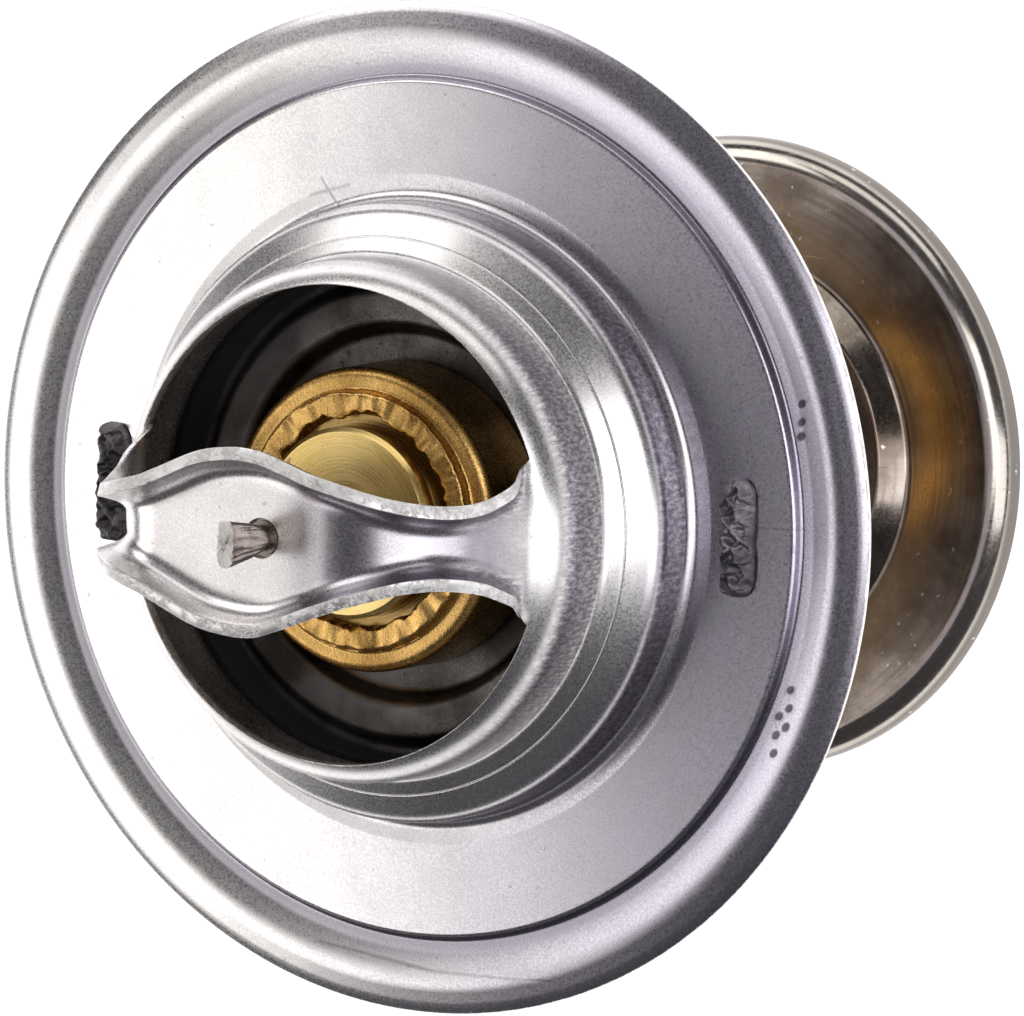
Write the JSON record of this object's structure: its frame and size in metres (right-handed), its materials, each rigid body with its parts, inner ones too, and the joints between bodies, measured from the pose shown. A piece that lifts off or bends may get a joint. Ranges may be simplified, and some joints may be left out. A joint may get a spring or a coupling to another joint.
{
  "type": "engine thermostat",
  "caption": "Wax-operated coolant valve insert: pressed flange with a stepped neck and bridge, sprung main valve on a brass element, and a sliding bypass disc.",
  "frame": {"origin": "centre of the flange's rear seating face", "axes": "+Z along the valve's axis, out through the bridge; X along the bridge"},
  "size_m": [0.067, 0.067, 0.0657],
  "materials": {
    "flange_steel": "satin pressed sheet",
    "frame_steel": "pressed sheet",
    "pin_steel": "ground",
    "spring_steel": "drawn wire",
    "element_brass": "drawn and crimped",
    "guide_brass": "turned",
    "valve_steel": "pressed sheet",
    "black_rubber": "moulded",
    "wax": "filled wax",
    "disc_steel": "polished sheet"
  },
  "bodies": {
    "housing_side": {"flange_bridge": "flange_steel", "lower_frame": "frame_steel", "piston": "pin_steel", "main_spring": "spring_steel"},
    "element": {"capsule_cup": "element_brass", "piston_guide": "guide_brass", "backup_washer": "guide_brass", "rubber_sleeve": "black_rubber", "wax_charge": "wax", "main_valve_plate": "valve_steel", "main_valve_seal": "black_rubber", "bypass_stem": "frame_steel", "spring_seat_washer": "frame_steel", "bypass_spring": "spring_steel", "retaining_ring": "spring_steel"},
    "bypass_valve": {"bypass_disc": "disc_steel"}
  },
  "joints": [
    {"name": "valve_lift", "type": "slide", "parent": "housing_side", "child": "element", "axis": [0, 0, -1], "range_m": [0, 0.008], "stiffness_N_per_m": 6000, "springref_m": -0.0125, "deforming": ["main_spring"]},
    {"name": "bypass_give", "type": "slide", "parent": "element", "child": "bypass_valve", "axis": [0, 0, 1], "range_m": [0, 0.0035], "stiffness_N_per_m": 1500, "springref_m": -0.005, "deforming": ["bypass_spring"]}
  ]
}
